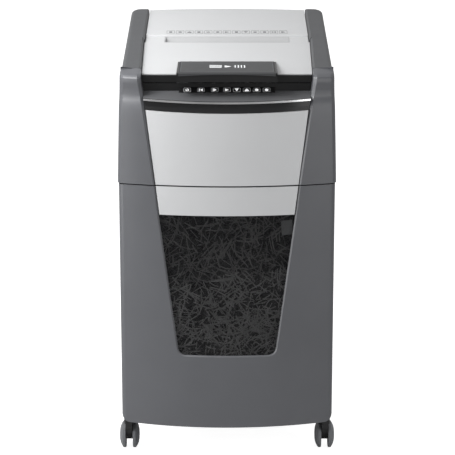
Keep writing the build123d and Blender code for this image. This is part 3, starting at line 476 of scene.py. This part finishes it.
def build_head_shell():
    """Both halves of the head's skin, in place of the plain housing."""
    verts, faces = head_half(1)
    mirrored, more = head_half(-1)
    offset = len(verts)
    verts += mirrored
    faces += [tuple(offset + i for i in face) for face in more]
    shell = new_object("head_shell_skin", verts, faces, 16.0)
    wall = shell.modifiers.new("wall", "SOLIDIFY")
    wall.thickness = SHELL_WALL
    wall.offset = -1.0
    piece(shell, "chassis", body_plastic)
    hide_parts("head_housing")


build_head_shell()


# ---------------------------------------------------------------- flat marks
def rounded(cx, cy, width, height, corner):
    """Outline of a rounded rectangle, counter-clockwise."""
    points = []
    for turn, sx, sy in ((0, 1, 1), (1, -1, 1), (2, -1, -1), (3, 1, -1)):
        for i in range(4):
            angle = math.pi / 2 * (turn + i / 3)
            x = sx * (width / 2 - corner) + corner * math.cos(angle)
            y = sy * (height / 2 - corner) + corner * math.sin(angle)
            points.append((cx + x, cy + y))
    return points


def circle(cx, cy, radius, count=16):
    """Outline of a circle, counter-clockwise."""
    steps = [2 * math.pi * i / count for i in range(count)]
    return [(cx + radius * math.cos(a), cy + radius * math.sin(a)) for a in steps]


def plane(origin, across, up):
    """A placing function: across, up and lift on a face, to a place in the frame."""
    origin, across, up = Vector(origin), Vector(across).normalized(), Vector(up).normalized()
    normal = across.cross(up)

    def place(u, v, lift):
        return tuple(origin + across * u + up * v + normal * lift)

    return place


def raise_mark(verts, faces, outer, inner, place, height=MARK_HEIGHT):
    """A raised mark with straight sides: a filled outline, or the band between two outlines."""
    loops = [outer] if inner is None else [outer, inner]
    starts = []
    for loop in loops:
        for lift in (0.0, height):
            starts.append(len(verts))
            verts += [place(u, v, lift) for u, v in loop]
    count = len(outer)
    following = [(i + 1) % count for i in range(count)]
    for low, high in zip(starts[::2], starts[1::2]):
        faces += [(low + i, low + j, high + j, high + i) for i, j in enumerate(following)]
    if inner is None:
        faces += [tuple(start + i for i in range(count)) for start in starts]
        return
    for a, b in ((starts[0], starts[2]), (starts[1], starts[3])):
        faces += [(a + i, a + j, b + j, b + i) for i, j in enumerate(following)]


def block(cx, cy, left, right, foot, head):
    """Outline of an upright rectangle, its sides given from a middle."""
    corners = ((left, foot), (right, foot), (right, head), (left, head))
    return [(cx + x, cy + y) for x, y in corners]


def glyph(kind, cx, cy, size):
    """Filled outlines of one plain sign, about size wide."""
    s = size / 2
    bar = block(cx, cy, -s, -s * 0.6, -s, s)
    outside = [(cx + s * 0.9 * math.cos(a), cy + s * 0.9 * math.sin(a)) for a in arc(2.2, 7.2)]
    inside = [(cx + s * 0.55 * math.cos(a), cy + s * 0.55 * math.sin(a)) for a in arc(7.2, 2.2)]
    roof = [(cx + s, cy - s * 0.2), (cx, cy + s), (cx - s, cy - s * 0.2)]
    signs = {
        "power": [outside + inside, block(cx, cy, -s * 0.16, s * 0.16, 0, s)],
        "back": [[(cx + s, cy - s), (cx + s, cy + s), (cx - s * 0.5, cy)], bar],
        "forward": [[(cx - s * 0.5, cy - s), (cx + s, cy), (cx - s * 0.5, cy + s)], bar],
        "play": [[(cx - s, cy - s), (cx + s, cy), (cx - s, cy + s)]],
        "down": [[(cx, cy - s), (cx + s, cy + s), (cx - s, cy + s)]],
        "lid": [[(cx - s, cy - s), (cx + s, cy - s)] + roof],
        "dot": [circle(cx, cy, s * 0.9)],
        "sheet": [block(cx, cy, -s * 0.7, s * 0.7, -s, s)],
    }
    return signs[kind]


def arc(start, end, steps=12):
    """Angles from one to another, in radians."""
    return [start + (end - start) * i / steps for i in range(steps + 1)]


KEY_KINDS = ("power", "back", "forward", "play", "down", "lid", "dot", "dot")
KEY_PLACES = (-0.070, -0.046, -0.0215, 0.0, 0.0172, 0.0347, 0.0522, 0.0697)
KEY_FRAME = (0.0128, 0.0104, 0.0022)             # width, height and corner
KEY_FRAME_INSIDE = (0.0118, 0.0094, 0.0017)
KEY_SIGN = 0.0070
KEY_DROP = 0.0006            # the row sits a little below the panel's middle


def build_touch_keys():
    """White signs in rounded frames along the sloping panel."""
    middle = Vector((0, (PANEL_TOP[0] + PANEL_FOOT[0]) / 2, (PANEL_TOP[1] + PANEL_FOOT[1]) / 2))
    up = Vector((0, PANEL_TOP[0] - PANEL_FOOT[0], PANEL_TOP[1] - PANEL_FOOT[1]))
    place = plane(middle - up.normalized() * KEY_DROP, (1, 0, 0), up)
    signs, frames = ([], []), ([], [])
    for kind, x in zip(KEY_KINDS, KEY_PLACES):
        raise_mark(*frames, rounded(x, 0, *KEY_FRAME), rounded(x, 0, *KEY_FRAME_INSIDE), place)
        for outline in glyph(kind, x, 0, KEY_SIGN):
            raise_mark(*signs, outline, None, place)
    piece(new_object("touch_key_signs", *signs), "chassis", key_white_painted_glow)
    piece(new_object("touch_key_frames", *frames), "chassis", icon_white)


TAB_SIGN_Y = -0.143


def build_tab_pictogram():
    """A stack of sheets, an arrow and cut strips on the grip tab."""
    slope = (TAB_TOP_REAR[1] - TAB_TOP_FRONT[1]) / (TAB_TOP_REAR[0] - TAB_TOP_FRONT[0])
    z = TAB_TOP_FRONT[1] + slope * (TAB_SIGN_Y - TAB_TOP_FRONT[0])
    place = plane((0, TAB_SIGN_Y, z), (1, 0, 0), (0, 1, slope))
    marks = ([], [])
    for i in range(3):
        raise_mark(*marks, rounded(-0.020, -0.0090 + 0.0090 * i, 0.022, 0.0045, 0.0010), None, place)
    raise_mark(*marks, [(-0.004, -0.009), (0.008, 0.0), (-0.004, 0.009)], None, place)
    for i in range(4):
        raise_mark(*marks, rounded(0.0145 + 0.0055 * i, 0, 0.0022, 0.0225, 0.0008), None, place)
    piece(new_object("tab_pictogram", *marks), "lid", icon_white)


SHADE_INSET = 0.0016          # middle of the painted shade band, from the tab's side
SHADE_SIZE = (0.0020, 0.006)  # width, and how much shorter than the tab
# The thin painted highlight inside each shade band: its middle from the tab's side, then width and how
# much shorter than the tab.
HIGHLIGHT_INSET = 0.0033
HIGHLIGHT_SIZE = (0.0009, 0.010)


def build_tab_edge_shading():
    """Painted shade along the sides of the grip tab, with a thin painted highlight line inside each."""
    rise, run = TAB_TOP_REAR[1] - TAB_TOP_FRONT[1], TAB_TOP_REAR[0] - TAB_TOP_FRONT[0]
    middle = (0, (TAB_TOP_FRONT[0] + TAB_TOP_REAR[0]) / 2, (TAB_TOP_FRONT[1] + TAB_TOP_REAR[1]) / 2)
    place = plane(middle, (1, 0, 0), (0, run, rise))
    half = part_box("lid_tab")[1].x
    dark, pale = ([], []), ([], [])
    for side in (-1, 1):
        shade_outline = rounded(side * (half - SHADE_INSET), 0, SHADE_SIZE[0], run - SHADE_SIZE[1], 0.0009)
        highlight_outline = rounded(side * (half - HIGHLIGHT_INSET), 0, HIGHLIGHT_SIZE[0], run - HIGHLIGHT_SIZE[1], 0.0004)
        raise_mark(*dark, shade_outline, None, place)
        raise_mark(*pale, highlight_outline, None, place)
    piece(new_object("tab_side_painted_shade", *dark), "lid", dark_plastic)
    piece(new_object("tab_side_painted_highlights", *pale), "lid", print_and_highlight_grey)


LID_SIGNS = (
    "sheet", "dot", "lid", "sheet", "power", "dot", "play",
    "sheet", "down", "dot", "sheet", "back", "forward",
)
LID_SIGN_Y = 0.0745
LID_SIGN_STEP = 0.0178
LID_SIGN_FRAME = (0.0150, 0.0200, 0.0020)        # width, height and corner
LID_SIGN_INSIDE = (0.0138, 0.0186, 0.0014)
LID_SIGN_SIZE = 0.0080
REAR_PANEL_STEP = 0.0025     # the rear lid panel stands this much above the front one


def build_lid_pictograms():
    """A row of small framed signs near the front edge of the rear lid panel."""
    z = LID_FRONT[1] + LID_SLOPE * (LID_SIGN_Y - LID_FRONT[0]) + REAR_PANEL_STEP
    place = plane((0, LID_SIGN_Y, z), (1, 0, 0), (0, 1, LID_SLOPE))
    marks = ([], [])
    for i, kind in enumerate(LID_SIGNS):
        x = LID_SIGN_STEP * (i - len(LID_SIGNS) // 2)
        raise_mark(*marks, rounded(x, 0, *LID_SIGN_FRAME), rounded(x, 0, *LID_SIGN_INSIDE), place)
        for outline in glyph(kind, x, 0, LID_SIGN_SIZE):
            raise_mark(*marks, outline, None, place)
    piece(new_object("lid_pictograms", *marks), "lid", print_and_highlight_grey)


build_touch_keys()
build_tab_pictogram()
build_tab_edge_shading()
build_lid_pictograms()


# ---------------------------------------------------------------- springs above the pressure plate
COIL_R = 0.009
WIRE_R = 0.0008
COIL_PITCH = 0.006
COIL_SIDES = 8
STEPS_PER_TURN = 20


def build_coils():
    """Four coils above the pressure plate, in place of the plain ones."""
    low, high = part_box("plate_springs")
    turns = (high.z - low.z - 2 * WIRE_R) / COIL_PITCH
    reach = COIL_R + WIRE_R
    steps, sides = int(turns * STEPS_PER_TURN), COIL_SIDES
    verts, faces = [], []
    for cx in (low.x + reach, high.x - reach):
        for cy in (low.y + reach, high.y - reach):
            base = len(verts)
            for i in range(steps + 1):
                turn = 2 * math.pi * turns * i / steps
                z = low.z + WIRE_R + turns * COIL_PITCH * i / steps
                for k in range(sides):
                    around = 2 * math.pi * k / sides
                    radius = COIL_R + WIRE_R * math.cos(around)
                    x, y = cx + radius * math.cos(turn), cy + radius * math.sin(turn)
                    verts.append((x, y, z + WIRE_R * math.sin(around)))
            for i in range(steps):
                for k in range(sides):
                    a, b = base + i * sides + k, base + i * sides + (k + 1) % sides
                    faces.append((a, b, b + sides, a + sides))
            faces.append(tuple(range(base, base + sides)))
            faces.append(tuple(range(base + steps * sides, base + (steps + 1) * sides)))
    coils = piece(new_object("plate_coils", verts, faces, 50.0), "lid", steel)
    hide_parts("plate_springs")
    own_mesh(coils)


build_coils()


# ---------------------------------------------------------------- shredded paper in the bin
PILE_TOP = 0.352             # the pile that shows brightest behind the window ends here
SHRED_CLEAR = 0.0068         # back of the window, from the bowed front
STRIP_LENGTH = (0.016, 0.042)
STRIP_HALF_WIDTH = (0.0007, 0.0012)
STRIP_STEPS = 4
CORE_DEPTH = 0.036           # front of the painted-shadow sheet, from the bowed front
CORE_LUMPS = 0.010
HEAP_WALL = 0.012
HEAP_FRONT = 0.042           # front of the open heap, from the bowed front
HEAP_STRIP_FRONT = 0.038
HEAP_LEVEL = 0.405
HEAP_RISE = 0.035
HEAP_STRIPS = 3400
HEAP_STRIP_LENGTH = (0.018, 0.042)
HEAP_STRIP_HALF_WIDTH = (0.0009, 0.0014)
HEAP_FIRST_Y = -0.165
BIN_INNER_HALF = 0.1625
BIN_INNER_BACK = 0.190
BIN_CORNER_Y = 0.174         # the bin's rear corners begin to round here


def ribbon(centre, along, across, bow, length, half_width):
    """Corners of one strip that bows away from its middle, as pairs along its length."""
    corners = []
    for i in range(STRIP_STEPS + 1):
        t = i / STRIP_STEPS - 0.5
        middle = centre + along * length * t + bow * length * t * t
        corners += [middle - across * half_width, middle + across * half_width]
    return corners


def ribbon_faces(base):
    return [(a, a + 1, a + 3, a + 2) for a in range(base, base + 2 * STRIP_STEPS, 2)]


def window_strip(rng, x, z, depth, length, half_width):
    """One bent strip behind the window, kept off the glass."""
    turn = rng.uniform(0, math.pi)
    tip = rng.uniform(-0.35, 0.35)
    curl = rng.uniform(-0.8, 0.8)
    flat = math.cos(tip)
    along = Vector((math.cos(turn) * flat, math.sin(tip) * 0.5, math.sin(turn) * flat)).normalized()
    facing = Vector((rng.uniform(-0.4, 0.4), 1, rng.uniform(-0.4, 0.4)))
    across = along.cross(facing).normalized()
    bow = (along.cross(across) + across * rng.uniform(-0.8, 0.8)) * curl
    centre = Vector((x, front_y(x, SHRED_CLEAR + depth), z))
    corners = ribbon(centre, along, across, bow, length, half_width)
    return [(c.x, max(c.y, front_y(c.x, SHRED_CLEAR)), c.z) for c in corners]


def build_strips(name, seed, count, span, depths, material):
    """Cut strips scattered between two heights, lying in a layer behind the window."""
    rng = random.Random(seed)
    verts, faces = [], []
    while len(faces) < STRIP_STEPS * count:
        z = rng.uniform(*span)
        limit = opening_half(max(z, 0.2)) + 0.008
        x = rng.uniform(-limit, limit)
        crest = span[1] - 0.020 + 0.012 * math.sin(24 * x) + 0.008 * math.sin(61 * x + 1.0)
        if z > crest:
            continue
        depth = depths[0] + (depths[1] - depths[0]) * rng.random() ** 1.5
        faces += ribbon_faces(len(verts))
        length, half_width = rng.uniform(*STRIP_LENGTH), rng.uniform(*STRIP_HALF_WIDTH)
        verts += window_strip(rng, x, z, depth, length, half_width)
    return piece(new_object(name, verts, faces, 80.0), "bin", material)


def thicken(obj):
    wall = obj.modifiers.new("body", "SOLIDIFY")
    wall.thickness = HEAP_WALL


def build_painted_shadow_core():
    """A dark, lumpy sheet behind the loose strips at the window: painted shadow that stands for the
    shaded depth of the heap.
    """
    rng = random.Random(5)
    low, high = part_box("bin_window")
    columns, rows = 60, 64
    verts = []
    for j in range(rows + 1):
        z = low.z - 0.012 + (high.z - low.z + 0.012) * j / rows
        limit = opening_half(max(z, 0.201)) + 0.022
        for i in range(columns + 1):
            x = -limit + 2 * limit * i / columns
            verts.append((x, front_y(x, CORE_DEPTH + rng.uniform(0.0, CORE_LUMPS)), z))
    shadow_sheet = new_object("shred_painted_shadow", verts, grid_faces(columns, rows), 60.0)
    thicken(shadow_sheet)
    piece(shadow_sheet, "bin", paper_core_painted_shadow)


def heap_height(x, y):
    """Top of the loose heap that fills the bin, seen when the bin is pulled out."""
    lumps = 0.004 * math.sin(41 * x + 3) * math.sin(37 * y) + 0.003 * math.sin(90 * x) * math.cos(77 * y)
    return HEAP_LEVEL + HEAP_RISE * math.cos(8 * x) * math.cos(7 * (y + 0.02)) + lumps


def bin_half(y):
    """Half width left inside the bin, drawn in at its rounded rear corners."""
    return BIN_INNER_HALF - 40 * max(0.0, y - BIN_CORNER_Y) ** 2


def build_heap_top():
    """The bumpy upper side of the heap, from the window's back to the bin's rear wall, in the darker
    paper copy: painted shade between the loose strips on it.
    """
    rng = random.Random(61)
    columns, rows = 66, 74
    verts = []
    for j in range(rows + 1):
        for i in range(columns + 1):
            share = 2 * i / columns - 1
            front = front_y(share * BIN_INNER_HALF, HEAP_FRONT)
            y = front + (BIN_INNER_BACK - front) * j / rows
            x = share * bin_half(y)
            verts.append((x, y, heap_height(x, y) + rng.uniform(-0.003, 0.003)))
    heap = new_object("heap_top", verts, grid_faces(columns, rows), 60.0)
    thicken(heap)
    piece(heap, "bin", paper_packed_painted_shade)


def build_heap_shreds():
    """Single strips lying every way on the heap, kept inside the bin's walls."""
    rng = random.Random(67)
    verts, faces = [], []
    for _ in range(HEAP_STRIPS):
        y = rng.uniform(HEAP_FIRST_Y, BIN_INNER_BACK)
        x = rng.uniform(-1, 1) * bin_half(y)
        turn = rng.uniform(0, 2 * math.pi)
        along = Vector((math.cos(turn), math.sin(turn), rng.uniform(-0.15, 0.35))).normalized()
        facing = Vector((rng.uniform(-0.5, 0.5), rng.uniform(-0.5, 0.5), 1))
        across = along.cross(facing).normalized()
        bow = along.cross(across) * rng.uniform(-0.6, 0.6)
        centre = Vector((x, y, heap_height(x, y) + rng.uniform(0.002, 0.009)))
        length, half_width = rng.uniform(*HEAP_STRIP_LENGTH), rng.uniform(*HEAP_STRIP_HALF_WIDTH)
        faces += ribbon_faces(len(verts))
        for corner in ribbon(centre, along, across, bow, length, half_width):
            back = min(max(corner.y, front_y(corner.x, HEAP_STRIP_FRONT)), BIN_INNER_BACK)
            side = bin_half(back)
            verts.append((min(max(corner.x, -side), side), back, corner.z))
    piece(new_object("heap_shreds", verts, faces, 80.0), "bin", paper_near)


TILE_PLACE = (0.1060, 0.4330)                    # x, z
TILE_SIZE = (0.0200, 0.0260, 0.0015)             # width, height and corner
TILE_TIP = math.radians(4)
TILE_THICK = 0.0006


def build_bin_label():
    """A small grey tile inside the window's upper right corner, tipped a little."""
    x, z = TILE_PLACE
    place = plane((x, front_y(x, SHRED_CLEAR + 0.001), z), (1, 0.205, 0), (0, 0, 1))
    cosine, sine = math.cos(TILE_TIP), math.sin(TILE_TIP)
    outline = [(u * cosine - v * sine, u * sine + v * cosine) for u, v in rounded(0, 0, *TILE_SIZE)]
    verts, faces = [], []
    raise_mark(verts, faces, outline, None, place, TILE_THICK)
    piece(new_object("bin_label_tile", verts, faces), "bin", label_grey)


# Deeper and higher strips take the darker paper copies as painted shade; the nearest strips take the
# plain paper.
build_strips("packed_shreds", 7, 2600, (0.190, PILE_TOP), (0.007, 0.026), paper_packed_painted_shade)
build_strips("pile_shreds", 11, 330, (0.230, PILE_TOP + 0.006), (0.001, 0.008), paper_near)
build_strips("low_shreds", 31, 260, (0.190, 0.290), (0.002, 0.010), paper_near)
build_strips("clinging_shreds", 23, 360, (0.330, 0.475), (0.003, 0.020), paper_far_painted_shade)
build_strips("loose_shreds", 43, 900, (0.330, 0.480), (0.012, 0.030), paper_packed_painted_shade)
build_painted_shadow_core()
build_heap_top()
build_heap_shreds()
build_bin_label()


# ---------------------------------------------------------------- floor, lights, camera
FLOOR_HALF = 20.0
FLOOR_GLOW = 0.92            # the floor glows for the camera only, so that it lights nothing
WORLD_LIGHT = 0.44
WORLD_SEEN = 1.0
CAMERA_PLACE = (0.0009, -2.9344, 1.0446)
CAMERA_DOWN = 12.64          # degrees below level
CAMERA_LENS = 125.1
CAMERA_SENSOR = 36.0


def build_stage():
    """A wide, plain, pale floor."""
    signs = ((-1, -1), (1, -1), (1, 1), (-1, 1))
    corners = [(sx * FLOOR_HALF, sy * FLOOR_HALF, 0) for sx, sy in signs]
    floor = new_object("floor", corners, [(0, 1, 2, 3)])
    material, tree, shader = base_material("pale_floor")
    tint = ramp(tree, noise(tree, 2.0), (0.55, 0.55, 0.55), (0.58, 0.58, 0.58))
    tree.links.new(tint.outputs["Color"], shader.inputs["Base Color"])
    shader.inputs["Roughness"].default_value = 0.9
    shader.inputs["Emission Color"].default_value = (1, 1, 1, 1)
    seen = tree.nodes.new("ShaderNodeLightPath")
    glow = tree.nodes.new("ShaderNodeMath")
    glow.operation = "MULTIPLY"
    glow.inputs[1].default_value = FLOOR_GLOW
    tree.links.new(seen.outputs["Is Camera Ray"], glow.inputs[0])
    tree.links.new(glow.outputs["Value"], shader.inputs["Emission Strength"])
    floor.data.materials.append(material)


def area_light(name, place, target, size, power):
    """A softbox at a place, turned towards a target."""
    data = bpy.data.lights.new(name, "AREA")
    data.shape = "RECTANGLE"
    data.size, data.size_y = size
    data.energy = power
    light = bpy.data.objects.new(name, data)
    light.location = place
    light.rotation_euler = (Vector(target) - Vector(place)).to_track_quat("-Z", "Y").to_euler()
    scene.collection.objects.link(light)


def build_lights():
    """A dim white surround that looks white to the camera, three softboxes and a broad sun."""
    world = bpy.data.worlds.new("studio")
    world.use_nodes = True
    tree = world.node_tree
    tree.nodes["Background"].inputs["Color"].default_value = (1, 1, 1, 1)
    seen = tree.nodes.new("ShaderNodeLightPath")
    glow = tree.nodes.new("ShaderNodeMapRange")
    glow.inputs["To Min"].default_value = WORLD_LIGHT
    glow.inputs["To Max"].default_value = WORLD_SEEN
    tree.links.new(seen.outputs["Is Camera Ray"], glow.inputs["Value"])
    tree.links.new(glow.outputs["Result"], tree.nodes["Background"].inputs["Strength"])
    scene.world = world
    area_light("key_left", (-1.55, -0.85, 0.95), (0, 0, 0.45), (1.2, 1.8), 27)
    area_light("top_left", (-0.55, -0.25, 1.25), (0, 0.02, 0.70), (0.5, 0.5), 7.8)
    area_light("fill_right", (1.5, -1.7, 0.9), (0, 0, 0.5), (1.0, 1.6), 11)
    above = bpy.data.lights.new("above", "SUN")
    above.energy = 0.45
    above.angle = math.radians(60)
    scene.collection.objects.link(bpy.data.objects.new("above", above))


def build_camera():
    """The photo's viewpoint: straight on, a little from above."""
    data = bpy.data.cameras.new("camera")
    data.lens = CAMERA_LENS
    data.sensor_width = CAMERA_SENSOR
    camera = bpy.data.objects.new("camera", data)
    camera.location = CAMERA_PLACE
    camera.rotation_euler = (math.radians(90 - CAMERA_DOWN), 0, 0)
    scene.collection.objects.link(camera)
    scene.camera = camera


build_stage()
build_lights()
build_camera()
scene.view_settings.view_transform = "Standard"
